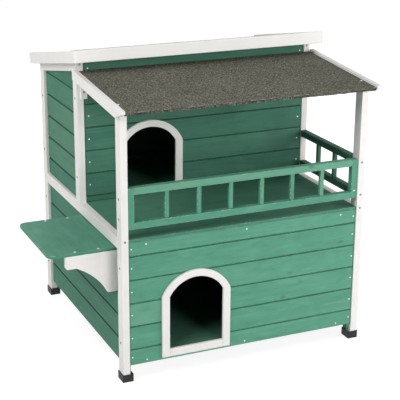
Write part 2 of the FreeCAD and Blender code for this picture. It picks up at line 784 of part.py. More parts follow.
def build_post_screws():
    front_middle = f"{front} + dims.post_width / 2"
    mid_middle = f"{porch} + dims.post_width / 2"
    rear_middle = f"{rear} - dims.post_width / 2"
    low = "dims.wall_bottom + dims.wall_screw_low"
    high = "dims.mid_rail_base - dims.wall_screw_high"
    upper_low = f"{floor} + dims.upper_screw_inset"
    places = [
        (front_middle, low), (front_middle, high),
        (front_middle, f"{floor} + dims.railing_screw_low"),
        (front_middle, f"{floor} + dims.railing_screw_high"),
        (mid_middle, upper_low), (mid_middle, f"{top_rail_base(mid_post_back)} - dims.upper_screw_inset"),
        (rear_middle, low), (rear_middle, high),
        (rear_middle, upper_low), (rear_middle, f"{top_rail_base(rear)} - dims.upper_screw_inset"),
    ]
    heads = []
    for side, sign in SIDES.items():
        heads += [side_head(f"side_screw_{side}", side, y, z) for y, z in places]
        post_x = f"{centre_x} + {sign} * (dims.house_width / 2 - dims.post_thick / 2)"
        heights = [f"{floor} - dims.floor_thick / 2"]
        if side == "right":  # two more hold the side railing
            heights += [f"{railing_base} + dims.railing_bar / 2", f"{railing_top} - dims.railing_bar / 2"]
        for z in heights:
            heads.append(front_head(f"front_screw_{side}", "screw", post_x, front, z))
        heads.append(front_head(f"top_screw_{side}", "screw", post_x, porch,
                                f"{rake_edge(porch)} + dims.rake_height * 0.4"))
        block_depth = "dims.block_inset + dims.block_width / 2"
        block_x = f"{centre_x} + {sign} * (dims.house_width / 2 - ({block_depth}))"
        block_z = f"{block_top(porch)} - dims.block_height * 2 / 3"
        block_face = f"{porch} - dims.block_thick"
        heads.append(front_head(f"block_screw_{side}", "screw", block_x, block_face, block_z))
    for near, far in brackets.values():
        for k in range(2):
            x = f"{shelf_in} - dims.shelf_screw_inset - {k} * dims.shelf_screw_spacing"
            heads.append(cylinder("shelf_screw", "dims.screw_radius", "dims.screw_height", "z", x,
                                  f"{near} + dims.bracket_thick / 2", shelf_top))
    keep(group("post_screws", heads))


def build_hinge_screws():
    heads = []
    for side, sign in SIDES.items():
        middle = f"{centre_x} + {sign} * dims.hinge_spread"
        for k in (-1, 1):
            x = f"{middle} + {k} * dims.leaf_screw_spacing / 2"
            z = f"{axis_z} - dims.leaf_width + dims.leaf_screw_edge"
            heads.append(cylinder(f"hinge_screw_{side}", "dims.leaf_screw_radius", "dims.screw_height",
                                  "y", x, f"{rear} + dims.leaf_thick", z))
    keep(group("hinge_screws", heads))


def build_nails():
    crossing = between("dims.post_thick + dims.cross_nail_inset") + (centre_x,)
    front_rows = plank_rows("dims.wall_bottom", "dims.front_first_row", floor_base)
    upper_rows = plank_rows(floor, "dims.upper_first_row", frame_top(upper_back))
    heads = []
    for face, rows, inset in ((front_face, front_rows, "nail_inset"),
                              (upper_face, upper_rows[1:], "upper_nail_inset")):
        ends = between(f"dims.post_thick + dims.{inset}")
        for low, high in rows:
            middle = f"(({low}) + ({high})) / 2"
            heads += [front_head("row_nail", "nail", x, face, middle) for x in ends]
    edges = ("dims.wall_bottom + dims.cross_nail_edge", f"{floor_base} - dims.cross_nail_edge")
    heads += [front_head("cross_nail", "nail", x, front_face, z) for x in crossing for z in edges]
    stile_x = between("dims.post_thick + dims.stile_width / 2")[1]
    heads.append(front_head("stile_nail", "nail", stile_x, f"{front} + dims.railing_setback",
                            f"{railing_base} + dims.stile_nail"))
    keep(group("plank_nails", heads))


for side in SIDES:
    build_side_frame(side)
    build_side_walls(side)
build_front_wall()
build_upper_wall()
build_rear_wall()
build_floors()
build_porch_roof()
build_lid()
build_hinges()
build_front_railing()
build_side_railing()
build_shelf()
build_foot_caps()
build_post_screws()
build_hinge_screws()
build_nails()
doc.recompute()

# Every object has to be sound before anything is written
for made in doc.Objects:
    if "Invalid" in made.State or "Error" in made.State:
        raise RuntimeError(f"{made.Name} failed: {made.State}")
for piece in parts:
    if piece.Shape.isNull() or not piece.Shape.isValid() or not piece.Shape.Solids:
        raise RuntimeError(f"{piece.Label} has no sound shape")

os.makedirs("parts", exist_ok=True)
for piece in parts:
    piece.Shape.exportStep(f"parts/{piece.Label}.step")
print(len(parts), "parts; hinge axis at Y", round(value(axis_y), 3), "Z", round(value(axis_z), 3))
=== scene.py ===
import math
import random

import bmesh
import bpy
from mathutils import Matrix, Vector, noise


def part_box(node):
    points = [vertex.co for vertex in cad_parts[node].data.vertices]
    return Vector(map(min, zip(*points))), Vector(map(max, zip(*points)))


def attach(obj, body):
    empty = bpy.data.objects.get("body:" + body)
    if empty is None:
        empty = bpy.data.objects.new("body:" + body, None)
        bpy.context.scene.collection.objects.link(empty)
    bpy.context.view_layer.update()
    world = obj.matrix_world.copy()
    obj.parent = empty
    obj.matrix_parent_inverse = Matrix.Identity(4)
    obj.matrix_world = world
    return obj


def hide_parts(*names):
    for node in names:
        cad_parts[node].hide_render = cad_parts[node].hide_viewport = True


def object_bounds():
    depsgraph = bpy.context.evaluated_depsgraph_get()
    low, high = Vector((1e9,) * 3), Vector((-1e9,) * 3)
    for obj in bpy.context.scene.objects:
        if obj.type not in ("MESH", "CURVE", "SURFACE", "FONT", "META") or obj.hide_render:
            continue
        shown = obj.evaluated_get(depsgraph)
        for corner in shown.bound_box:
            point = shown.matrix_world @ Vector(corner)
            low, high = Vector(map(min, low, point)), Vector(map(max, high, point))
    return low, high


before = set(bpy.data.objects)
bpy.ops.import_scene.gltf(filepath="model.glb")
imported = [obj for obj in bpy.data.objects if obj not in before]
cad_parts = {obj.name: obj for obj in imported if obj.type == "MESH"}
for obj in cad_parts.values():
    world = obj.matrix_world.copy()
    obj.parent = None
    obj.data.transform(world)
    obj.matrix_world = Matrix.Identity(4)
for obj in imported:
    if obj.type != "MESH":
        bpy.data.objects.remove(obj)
cad_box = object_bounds()

MM = 0.001


# Shader arithmetic: sockets in Python expressions, and one way to add a node

SEEN_RAYS = ("Is Camera Ray", "Is Glossy Ray", "Is Transmission Ray")
EVEN = (1, 1, 1)
BOARD_SHIFT = 9.7


class Value:
    """A shader socket that takes part in Python arithmetic."""

    def __init__(self, nodes, socket):
        self.nodes = nodes
        self.socket = socket

    def _math(self, operation, first, second):
        return self.nodes.node("ShaderNodeMath", {"operation": operation}, {0: first, 1: second})

    def __add__(self, other):
        return self._math("ADD", self, other)

    def __sub__(self, other):
        return self._math("SUBTRACT", self, other)

    def __rsub__(self, other):
        return self._math("SUBTRACT", other, self)

    def __mul__(self, other):
        return self._math("MULTIPLY", self, other)

    __radd__ = __add__
    __rmul__ = __mul__

    def step(self, low, high):
        """Rises smoothly from 0 to 1 between two levels."""
        settings = {"interpolation_type": "SMOOTHSTEP", "clamp": True}
        levels = {"Value": self, "From Min": low, "From Max": high}
        return self.nodes.node("ShaderNodeMapRange", settings, levels)


class Nodes:
    """The nodes of a material or of the world."""

    def __init__(self, tree):
        self.tree = tree

    def node(self, kind, settings=None, inputs=None, out=0):
        """Adds a node: its settings first, then the values or links of its sockets."""
        made = self.tree.nodes.new(kind)
        for name, value in (settings or {}).items():
            if name == "stops":
                self._set_stops(made.color_ramp, value)
            else:
                setattr(made, name, value)
        for socket, value in (inputs or {}).items():
            self.feed(made.inputs[socket], value)
        return Value(self, made.outputs[out])

    def feed(self, socket, value):
        """Links a value to a socket, or sets the socket to a number or a colour."""
        if isinstance(value, Value):
            self.tree.links.new(value.socket, socket)
        else:
            socket.default_value = value

    @staticmethod
    def _set_stops(ramp, stops):
        while len(ramp.elements) < len(stops):
            ramp.elements.new(1.0)
        for element, (position, colour) in zip(ramp.elements, stops):
            element.position = position
            element.color = (*colour, 1.0)

    def seen(self):
        """1 for rays that show the studio itself, straight on or mirrored, and 0 for rays that light."""
        return sum(self.node("ShaderNodeLightPath", out=ray) for ray in SEEN_RAYS)


class Finish(Nodes):
    """A material under construction."""

    def __init__(self, name, **uniform):
        self.material = bpy.data.materials.new(name)
        self.material.use_nodes = True
        super().__init__(self.material.node_tree)
        self.shader = self.tree.nodes["Principled BSDF"]
        self.set(**uniform)

    def set(self, **inputs):
        """Feeds the shader's sockets, with an underscore for each space in their names."""
        for socket, value in inputs.items():
            self.feed(self.shader.inputs[socket.replace("_", " ")], value)

    def attribute(self, name):
        return self.node("ShaderNodeAttribute", {"attribute_name": name}, out="Fac")

    def place(self, stretch=EVEN, board=None):
        """Object coordinates, stretched along the axes and shifted from board to board."""
        spot = self.node("ShaderNodeTexCoord", out="Object")
        if board is not None:
            moved = self.node("ShaderNodeCombineXYZ", None, {axis: board * BOARD_SHIFT for axis in "XYZ"})
            spot = self.node("ShaderNodeVectorMath", {"operation": "ADD"}, {0: spot, 1: moved})
        return self.node("ShaderNodeMapping", None, {"Vector": spot, "Scale": stretch})

    def noise(self, spot, scale, detail=2.0, roughness=0.5, warp=0.0):
        return self.node("ShaderNodeTexNoise", None, {
            "Vector": spot, "Scale": scale, "Detail": detail, "Roughness": roughness, "Distortion": warp})

    def cells(self, spot, scale, out="Distance"):
        return self.node("ShaderNodeTexVoronoi", None, {"Vector": spot, "Scale": scale}, out=out)

    def ramp(self, factor, *stops):
        return self.node("ShaderNodeValToRGB", {"stops": stops}, {"Fac": factor})

    def mix(self, factor, first, second):
        """One colour turning into another; each is a value or three numbers."""
        colours = [part if isinstance(part, Value) else (*part, 1.0) for part in (first, second)]
        # the node repeats its socket names for every type; these are the numbers of those for colours
        sockets = {0: factor, 6: colours[0], 7: colours[1]}
        return self.node("ShaderNodeMix", {"data_type": "RGBA"}, sockets, out=2)

    def bump(self, height, depth, strength):
        self.set(Normal=self.node("ShaderNodeBump", None, {
            "Height": height, "Distance": depth, "Strength": strength}))


# Finishes: stain, paint, bare pine, felt, plastic and plated steel

def stretched(share):
    """Texture scales for grain along each axis: a share of the scale along it, the whole across it."""
    return {axis: tuple(share if axis == other else 1 for other in "xyz") for axis in "xyz"}


def coat(colour, depth):
    """A stain colour, darkened as painted shade when the depth is below 1."""
    return tuple(depth * part for part in colour)


ALONG = stretched(0.06)
CLOUDY = stretched(0.4)
KNOTTED = stretched(0.65)
# how far the plank joints turn dark as painted shade; those of the side walls run along y and turn darker
GROOVE_SHADING = {"x": 0.55, "y": 0.94, "z": 0.55}
GRIT_CELLS = 430.0

STAIN_DEEP = (0.053, 0.212, 0.138)
STAIN = (0.088, 0.299, 0.202)
STAIN_THIN = (0.134, 0.373, 0.266)
STAIN_WARM = (0.170, 0.385, 0.250)
STAIN_RUBBED = (0.160, 0.390, 0.285)
STAIN_WORN = (0.440, 0.600, 0.490)
# painted shade for the plank joints
GROOVE_SHADE = (0.014, 0.066, 0.040)
# painted shade for the inner faces of the walls
INSIDE_SHADE = (0.010, 0.030, 0.020)
KNOT = (0.050, 0.110, 0.074)
PAINT = (0.850, 0.832, 0.810)
PAINT_SHADE = (0.795, 0.772, 0.745)
PINE = (0.610, 0.440, 0.265)
PINE_DARK = (0.430, 0.275, 0.145)
# dark pine for the porch deck: painted shade where its edge shows under the felt
DECK_PINE_SHADE = (0.095, 0.072, 0.050)
DECK_PINE_SHADE_DARK = (0.045, 0.034, 0.024)
GRIT_DARK = (0.045, 0.045, 0.035)
GRIT = (0.119, 0.117, 0.090)
GRIT_PALE = (0.400, 0.393, 0.318)
BITUMEN = (0.022, 0.020, 0.018)
CRUMB = (0.560, 0.540, 0.500)
PLASTIC_BLACK = (0.010, 0.010, 0.010)
PLASTIC_DUSTY = (0.025, 0.024, 0.024)


def stained(axis, depth=1.0):
    """Green stain that lets the grain of the boards show through; a depth below 1 darkens it as painted
    shade.
    """
    finish = Finish(f"green_stain_{axis}_{round(depth * 100)}", Specular_IOR_Level=0.12)
    board = finish.attribute("board")
    grain = finish.place(ALONG[axis], board)
    fibre = finish.noise(grain, 420.0, 4.0, 0.62, 0.4)
    streak = finish.noise(grain, 75.0, 3.0, 0.55, 0.9)
    scuffs = finish.noise(grain, 46.0, 2.0, 0.5, 1.6).step(0.64, 0.74)
    cloud = finish.noise(finish.place(CLOUDY[axis], board), 26.0, 4.0, 0.6, 0.8)
    chips = finish.noise(finish.place(EVEN, board), 130.0, 2.0, 0.6).step(0.55, 0.63)
    spot = finish.place(KNOTTED[axis], board)
    chosen = finish.noise(spot, 9.0, 0.0).step(0.49, 0.53)
    knots = (1 - finish.cells(spot, 22.0).step(0.03, 0.20)) * chosen
    tone = fibre * 0.24 + streak * 0.24 + cloud * 0.42 + board * 0.10
    colour = finish.ramp(tone, (0.32, coat(STAIN_DEEP, depth)), (0.50, coat(STAIN, depth)),
                         (0.68, coat(STAIN_THIN, depth)))
    colour = finish.mix(board.step(0.5, 0.95) * cloud * 0.9, colour, coat(STAIN_WARM, depth))
    colour = finish.mix(knots * 0.7, colour, KNOT)
    colour = finish.mix(scuffs * (0.35 * depth), colour, STAIN_RUBBED)
    colour = finish.mix(finish.attribute("eased") * (0.25 * depth), colour, STAIN_RUBBED)
    colour = finish.mix(finish.attribute("arris") * chips * (0.7 * depth), colour, STAIN_WORN)
    # painted shade in the plank joints
    colour = finish.mix(finish.attribute("groove") * GROOVE_SHADING[axis], colour, GROOVE_SHADE)
    # painted shade on the inner faces of the walls
    colour = finish.mix(finish.attribute("inside") * 0.65, colour, INSIDE_SHADE)
    finish.set(Base_Color=colour, Roughness=0.55 + fibre * 0.22)
    finish.bump(fibre + knots * 0.6, 0.25 * MM, 0.45)
    return finish.material


def painted(axis):
    """Satin white paint over planed wood: the grain barely shows."""
    finish = Finish(f"white_paint_{axis}", Specular_IOR_Level=0.3)
    board = finish.attribute("board")
    fibre = finish.noise(finish.place(ALONG[axis], board), 300.0, 3.0, 0.6, 0.3)
    cloud = finish.noise(finish.place(EVEN, board), 14.0, 3.0, 0.6)
    colour = finish.ramp(fibre * 0.35 + cloud * 0.65, (0.28, PAINT_SHADE), (0.56, PAINT))
    colour = finish.mix(finish.attribute("eased") * 0.12, colour, PAINT_SHADE)
    finish.set(Base_Color=colour, Roughness=0.38 + cloud * 0.18)
    finish.bump(fibre, 0.12 * MM, 0.35)
    return finish.material


def unpainted(name, axis, dark, light):
    """Untreated softwood for the boards that are out of the weather or under the felt."""
    finish = Finish(f"{name}_{axis}", Specular_IOR_Level=0.3)
    grain = finish.place(ALONG[axis], finish.attribute("board"))
    fibre = finish.noise(grain, 260.0, 4.0, 0.65, 0.6)
    rings = finish.noise(grain, 45.0, 2.0, 0.5, 1.5)
    finish.set(Base_Color=finish.ramp(fibre * 0.45 + rings * 0.55, (0.34, dark), (0.58, light)),
               Roughness=0.62 + fibre * 0.2)
    finish.bump(fibre, 0.2 * MM, 0.4)
    return finish.material


def mineral_felt():
    """Roofing felt with bonded mineral grit; bare bitumen and pale crumbs show where it is bent."""
    finish = Finish("mineral_felt", Specular_IOR_Level=0.1)
    spot = finish.place()
    coarse = finish.cells(spot, GRIT_CELLS, out="Color")
    grain = finish.node("ShaderNodeSeparateColor", None, {"Color": coarse}, out="Red")
    clump = finish.noise(spot, 210.0, 2.0, 0.6)
    fine = finish.noise(spot, 900.0, 2.0, 0.7)
    drift = finish.noise(spot, 9.0, 3.0, 0.6)
    tone = grain * 0.46 + clump * 0.24 + fine * 0.14 + drift * 0.16
    colour = finish.ramp(tone, (0.16, GRIT_DARK), (0.50, GRIT), (0.86, GRIT_PALE))
    worn = finish.noise(finish.place((1, 0.3, 0.3)), 85.0, 3.0, 0.65)
    bald = finish.attribute("fold") * (0.30 + worn.step(0.42, 0.62) * 0.45)
    colour = finish.mix(bald, colour, BITUMEN)
    colour = finish.mix(finish.attribute("eased") * worn.step(0.50, 0.66) * 0.5, colour, CRUMB)
    finish.set(Base_Color=colour, Roughness=0.86 + fine * 0.1)
    finish.bump(finish.cells(spot, GRIT_CELLS) * 0.6 + fine * 0.4, 0.7 * MM, 0.8)
    return finish.material


def moulded_plastic():
    """Black plastic with a fine mould texture and a little dust."""
    finish = Finish("black_plastic", Specular_IOR_Level=0.28)
    spot = finish.place()
    spark = finish.noise(spot, 1400.0, 2.0, 0.6)
    dust = finish.noise(spot, 60.0, 3.0, 0.6)
    colour = finish.ramp(dust * 0.7 + spark * 0.3, (0.35, PLASTIC_BLACK), (0.7, PLASTIC_DUSTY))
    finish.set(Base_Color=colour, Roughness=0.42 + spark * 0.2)
    finish.bump(spark, 0.1 * MM, 0.5)
    return finish.material


def plated(name, metallic, dull, bright):
    """Plated steel with a fine spangle between two tones."""
    finish = Finish(name, Metallic=metallic)
    spangle = finish.noise(finish.place(), 600.0, 3.0, 0.6)
    finish.set(Base_Color=finish.ramp(spangle, (0.3, dull), (0.7, bright)), Roughness=0.32 + spangle * 0.25)
    finish.bump(spangle, 0.05 * MM, 0.4)
    return finish.material


STAINED = {axis: stained(axis) for axis in "xz"}
# darker coats of the same stain are painted shade: side walls, upper wall, ground floor, side railing, shelf,
# balcony floor
SIDE_WALL_SHADE_STAIN = stained("y", 0.56)
DEEP_SHADE_STAIN = stained("x", 0.52)
RAIL_STAIN = {axis: stained(axis, 0.96) for axis in "xz"}
SIDE_RAIL_SHADE_STAIN = {axis: stained(axis, 0.40) for axis in "yz"}
SHELF_SHADE_STAIN = stained("y", 0.88)
FLOOR_SHADE_STAIN = stained("x", 0.61)
PAINTED = {axis: painted(axis) for axis in "xyz"}
BARE = {axis: unpainted("bare_pine", axis, PINE_DARK, PINE) for axis in "xy"}
# dark pine for the porch deck: painted shade where its edge shows under the felt
SHADED_DECK_PINE = unpainted("shaded_deck_pine", "x", DECK_PINE_SHADE_DARK, DECK_PINE_SHADE)
FELT = mineral_felt()
PLASTIC = moulded_plastic()
ZINC = plated("zinc_plate", 1.0, (0.46, 0.46, 0.45), (0.72, 0.72, 0.71))
SCREW = plated("screw_steel", 0.7, (0.17, 0.17, 0.16), (0.36, 0.35, 0.34))
NAIL = plated("bright_nail", 0.5, (0.70, 0.74, 0.71), (0.88, 0.90, 0.88))


# Workshop: copies of the solids, merged and worked in edit mode

SAME_SPOT = 0.01 * MM
SAME_LEVEL = 0.1 * MM
FLAT_JOIN = math.radians(0.5)
SHARP_EDGE = math.radians(30)
SMOOTH_EDGE = math.radians(35)
# the part of a unit normal along an axis: square to the axis, or more or less towards it
FACING = 0.99
TOWARDS = 0.5
# an arris covers less than this many times the width of its rounding times its length
NARROW = 1.3
EASED = 1.1 * MM


def take_copy(node, name):
    """A merged working copy of a CAD node, selected on its own and in edit mode."""
    bpy.ops.object.select_all(action="DESELECT")
    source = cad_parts[node]
    piece = bpy.data.objects.new(name, source.data.copy())
    piece.data.name = name
    bpy.context.scene.collection.objects.link(piece)
    bpy.context.view_layer.objects.active = piece
    piece.select_set(True)
    bpy.ops.object.mode_set(mode="EDIT")
    bpy.ops.mesh.select_all(action="SELECT")
    bpy.ops.mesh.remove_doubles(threshold=SAME_SPOT)
    bpy.ops.mesh.dissolve_limited(angle_limit=FLAT_JOIN)
    bpy.ops.mesh.select_all(action="DESELECT")
    return piece


def pick(kind, test):
    """Selects the faces or edges of the mesh in edit mode that pass a test."""
    bpy.ops.mesh.select_mode(type={"faces": "FACE", "edges": "EDGE"}[kind])
    bpy.ops.mesh.select_all(action="DESELECT")
    mesh = bmesh.from_edit_mesh(bpy.context.object.data)
    for item in getattr(mesh, kind):
        if test(item):
            item.select_set(True)
    bmesh.update_edit_mesh(bpy.context.object.data)


def mark_selected(name):
    """Sets a face attribute, which starts at 0, to 1 on the selected faces."""
    data = bpy.context.object.data
    mesh = bmesh.from_edit_mesh(data)
    layer = mesh.faces.layers.float.get(name) or mesh.faces.layers.float.new(name)
    for face in mesh.faces:
        if face.select:
            face[layer] = 1.0
    bmesh.update_edit_mesh(data)


def round_edges(width, segments, clamp=False):
    """Rounds the selected edges; clamped, a rounding stops where it would meet another."""
    bpy.ops.mesh.bevel(offset=width, segments=segments, profile=0.5, affect="EDGES", clamp_overlap=clamp)


def ease(width, segments=2, test=None):
    """Rounds the sharp edges, or those that pass a test.

    The new faces and those that they surround are marked as eased, and narrow faces as arrises.
    """
    if test is None:
        bpy.ops.mesh.select_mode(type="EDGE")
        bpy.ops.mesh.select_all(action="DESELECT")
        bpy.ops.mesh.edges_select_sharp(sharpness=SHARP_EDGE)
    else:
        pick("edges", test)
    round_edges(width, segments, clamp=True)
    bpy.ops.mesh.select_mode(type="FACE")
    mark_selected("eased")

    def narrow(face):
        return face.calc_area() < NARROW * width * max(edge.calc_length() for edge in face.edges)

    pick("faces", narrow)
    mark_selected("arris")


def loose_parts(mesh):
    """The vertices of a mesh, one loose part at a time."""
    seen = set()
    for start in mesh.verts:
        if start in seen:
            continue
        part, stack = [], [start]
        seen.add(start)
        while stack:
            vert = stack.pop()
            part.append(vert)
            for edge in vert.link_edges:
                other = edge.other_vert(vert)
                if other not in seen:
                    seen.add(other)
                    stack.append(other)
        yield part


def number_boards(piece, seed):
    """Gives every loose board of a piece its own number between 0 and 1."""
    draw = random.Random(seed)
    mesh = bmesh.new()
    mesh.from_mesh(piece.data)
    layer = mesh.verts.layers.float.new("board")
    for board in loose_parts(mesh):
        number = draw.random()
        for vert in board:
            vert[layer] = number
    mesh.to_mesh(piece.data)
    mesh.free()


def fit(piece, nodes, body, material, seed):
    """Closes a piece: board numbers, shading, material, and its place in the assembly."""
    if piece.mode == "EDIT":
        bpy.ops.object.mode_set(mode="OBJECT")
    number_boards(piece, seed)
    piece.data.materials.clear()
    piece.data.materials.append(material)
    bpy.ops.object.select_all(action="DESELECT")
    piece.select_set(True)
    bpy.context.view_layer.objects.active = piece
    bpy.ops.object.shade_smooth_by_angle(angle=SMOOTH_EDGE)
    flat = piece.modifiers.new("flat_faces", "WEIGHTED_NORMAL")
    flat.keep_sharp = True
    bpy.ops.object.modifier_apply(modifier=flat.name)
    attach(piece, body)
    if nodes:
        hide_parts(*nodes)


def board_piece(node, name, body, material, seed, width=EASED, segments=2, foot_gap=0.0):
    """A piece that keeps the solid's form, with eased edges; its foot can stand clear of the floor."""
    piece = take_copy(node, name)
    if foot_gap:
        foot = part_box(node)[0].z + SAME_LEVEL
        pick("faces", lambda face: all(vert.co.z < foot for vert in face.verts))
        bpy.ops.transform.translate(value=(0, 0, foot_gap))
    ease(width, segments)
    fit(piece, [node], body, material, seed)


# Plank walls: tongues close the seams, and the planks' edges are chamfered on both faces

TONGUE_INSET = 3.0 * MM
SEAM = 0.8 * MM
SIDE_CHAMFER = 2.9 * MM
FRONT_CHAMFER = 2.0 * MM
# a chamfer's normal has between these parts along the wall's axis
SLANTED = (0.1, 0.95)
ACROSS = 0
FRONT_TO_REAR = 1


def plank_wall(node, axis, chamfer, stain, seed):
    """Planks whose faces look along an axis."""
    piece = take_copy(node, f"stained_{node}")
    low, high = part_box(node)
    mesh = bmesh.from_edit_mesh(piece.data)
    undersides = {round(face.calc_center_median().z, 5) for face in mesh.faces if face.normal.z < -FACING}
    seams = set()

    def seam_face(face):
        if face.normal.z <= FACING:
            return False
        level = face.calc_center_median().z + SEAM
        found = [under for under in undersides if abs(level - under) < SAME_LEVEL]
        seams.update(found)
        return bool(found)

    pick("faces", seam_face)
    bpy.ops.mesh.inset(thickness=TONGUE_INSET, use_individual=True)
    bpy.ops.mesh.extrude_region_move(TRANSFORM_OT_translate={"value": (0, 0, SEAM)})

    def face_edge(edge):
        spots = [vert.co[axis] for vert in edge.verts]
        on_low = all(abs(spot - low[axis]) < SAME_SPOT for spot in spots)
        on_high = all(abs(spot - high[axis]) < SAME_SPOT for spot in spots)
        shortest = min(link.calc_length() for vert in edge.verts for link in vert.link_edges)
        return (on_low or on_high) and (axis == FRONT_TO_REAR or shortest > chamfer)

    def groove_face(face):
        middle = face.calc_center_median().z
        return (SLANTED[0] < abs(face.normal[axis]) < SLANTED[1]
                and any(abs(middle - seam) < chamfer + SEAM for seam in seams))

    ease(chamfer, 1, face_edge)
    pick("faces", groove_face)
    mark_selected("groove")
    # the inner face looks to the middle of the house, but that of the upper wall looks to the rear; it is
    # darkened as painted shade
    house_middle = (cad_box[0][axis] + cad_box[1][axis]) / 2
    beyond = node != "upper_wall_planks" and (low[axis] + high[axis]) / 2 > house_middle
    inward = -1 if beyond else 1
    pick("faces", lambda face: face.normal[axis] * inward > TOWARDS)
    mark_selected("inside")
    fit(piece, [node], "house", stain, seed)


# the upper wall under the porch and the side walls take darker coats as painted shade
FRONT_WALLS = {
    "front_planks": STAINED["x"], "upper_wall_planks": DEEP_SHADE_STAIN, "rear_planks": STAINED["x"],
}
SIDE_WALLS = ("lower_side_planks_left", "lower_side_planks_right",
              "upper_side_planks_left", "upper_side_planks_right")

for seed, (node, stain) in enumerate(FRONT_WALLS.items(), start=11):
    plank_wall(node, FRONT_TO_REAR, FRONT_CHAMFER, stain, seed)
for seed, node in enumerate(SIDE_WALLS, start=21):
    plank_wall(node, ACROSS, SIDE_CHAMFER, SIDE_WALL_SHADE_STAIN, seed)


# Frame, trim, railings, floors, shelf and lid boards

FRAME_BOARDS = {
    "front_post_left": "z", "front_post_right": "z", "middle_post_left": "z", "middle_post_right": "z",
    "rear_post_left": "z", "rear_post_right": "z", "mid_rail_left": "y", "mid_rail_right": "y",
    "top_rail_left": "y", "top_rail_right": "y", "rake_board_left": "y", "rake_board_right": "y",
    "roof_blocks": "z", "rear_top_rail": "x", "porch_cleats": "y", "lower_door_arch": "x",
    "lower_door_jambs": "z", "lower_door_sill": "x", "upper_door_arch": "x", "upper_door_jambs": "z",
    "shelf_bracket_front": "x", "shelf_bracket_rear": "x",
}
# the side railing, balcony floor, ground floor and shelf take darker coats as painted shade
STAINED_BOARDS = {
    "front_railing_stiles": RAIL_STAIN["z"], "front_railing_top": RAIL_STAIN["x"],
    "front_railing_bottom": RAIL_STAIN["x"], "front_balusters": RAIL_STAIN["z"],
    "side_railing_stile": SIDE_RAIL_SHADE_STAIN["z"], "side_railing_top": SIDE_RAIL_SHADE_STAIN["y"],
    "side_railing_bottom": SIDE_RAIL_SHADE_STAIN["y"], "side_balusters": SIDE_RAIL_SHADE_STAIN["z"],
    "balcony_floor": FLOOR_SHADE_STAIN, "ground_floor": DEEP_SHADE_STAIN, "shelf_board": SHELF_SHADE_STAIN,
    "front_cleats": RAIL_STAIN["z"], "upper_wall_cleats": STAINED["z"], "rear_cleats": STAINED["z"],
}
# the porch deck takes the dark pine as painted shade under the felt
BARE_BOARDS = {
    "side_cleats_left": BARE["y"], "side_cleats_right": BARE["y"], "floor_battens": BARE["y"],
    "porch_deck": SHADED_DECK_PINE,
}
LID_BOARDS = {"lid_front_fascia": "x", "lid_fascia_left": "y", "lid_fascia_right": "y"}
DECK_EASED = 0.4 * MM
JAMB_GAP = 8.0 * MM
LID_SLOPE = math.radians(11)
FASCIA_EASED = 1.4 * MM
FASCIA_CORNER = 10.5 * MM
FASCIA_CORNER_STEPS = 7
FASCIA_FRONT = 7.0 * MM


def fascia_piece(node, axis, seed):
    """A fascia board; the front one has its upright corners rounded."""
    piece = take_copy(node, f"painted_{node}")
    if node == "lid_front_fascia":
        rise = Vector((0, math.sin(LID_SLOPE), math.cos(LID_SLOPE)))
        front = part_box(node)[0].y + FASCIA_FRONT

        def corner(edge):
            run = (edge.verts[1].co - edge.verts[0].co).normalized()
            return abs(run.dot(rise)) > FACING and min(vert.co.y for vert in edge.verts) < front

        ease(FASCIA_CORNER, FASCIA_CORNER_STEPS, corner)
    ease(FASCIA_EASED)
    fit(piece, [node], "lid", PAINTED[axis], seed)


for seed, (node, axis) in enumerate(FRAME_BOARDS.items(), start=31):
    foot_gap = JAMB_GAP if node == "upper_door_jambs" else 0.0
    board_piece(node, f"painted_{node}", "house", PAINTED[axis], seed, foot_gap=foot_gap)
for seed, (node, stain) in enumerate(STAINED_BOARDS.items(), start=61):
    board_piece(node, f"stained_{node}", "house", stain, seed)
for seed, (node, wood) in enumerate(BARE_BOARDS.items(), start=81):
    width = DECK_EASED if node == "porch_deck" else EASED
    board_piece(node, f"bare_{node}", "house", wood, seed, width)
for seed, (node, axis) in enumerate(LID_BOARDS.items(), start=91):
    fascia_piece(node, axis, seed)
board_piece("lid_deck", "bare_lid_deck", "lid", BARE["x"], 95)


# Roof felt: bent over its edge, slightly uneven, with a ragged cut

FELT_BEND = 1.5 * MM
FELT_SWELL = 0.5 * MM
SWELLS_PER_METRE = 9
HEM = 1.5 * MM
HEM_RAG = 1.2 * MM
RAGS_PER_METRE = 70
AT_FOLD = 0.3 * MM
NEAR_FOLD = 1.0 * MM
FOLD_LENGTH = 300 * MM
UPRIGHT = 0.8


def felt_piece(node, body, fold_y, cuts, seed):
    """Felt bent over the edge of its deck at fold_y, cut into a fine grid and made uneven."""
    piece = take_copy(node, f"felt_{node}")
    low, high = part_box(node)

    def bend(edge):
        first, second = (vert.co for vert in edge.verts)
        at_fold = all(abs(spot.y - fold_y) < AT_FOLD for spot in (first, second))
        return at_fold and abs(first.x - second.x) > FOLD_LENGTH

    def fold_face(face):
        return abs(face.calc_center_median().y - fold_y) < NEAR_FOLD and abs(face.normal.y) > UPRIGHT

    ease(FELT_BEND, 3, bend)
    for axis, count in enumerate(cuts):
        for cut in range(1, count):
            plane = [0.0, 0.0, 0.0]
            normal = [0.0, 0.0, 0.0]
            plane[axis] = low[axis] + (high[axis] - low[axis]) * cut / count
            normal[axis] = 1.0
            bpy.ops.mesh.select_all(action="SELECT")
            bpy.ops.mesh.bisect(plane_co=plane, plane_no=normal)
    pick("faces", fold_face)
    mark_selected("fold")
    mesh = bmesh.from_edit_mesh(piece.data)
    for vert in mesh.verts:
        spot = vert.co.copy()
        swell = noise.noise(Vector((spot.x * SWELLS_PER_METRE, spot.y * SWELLS_PER_METRE, seed)))
        vert.co.z += FELT_SWELL * swell
        if spot.z < low.z + HEM:
            vert.co.z += HEM_RAG * noise.noise(Vector((spot.x * RAGS_PER_METRE, seed, 0.5)))
    bmesh.update_edit_mesh(piece.data)
    fit(piece, [node], body, FELT, seed)


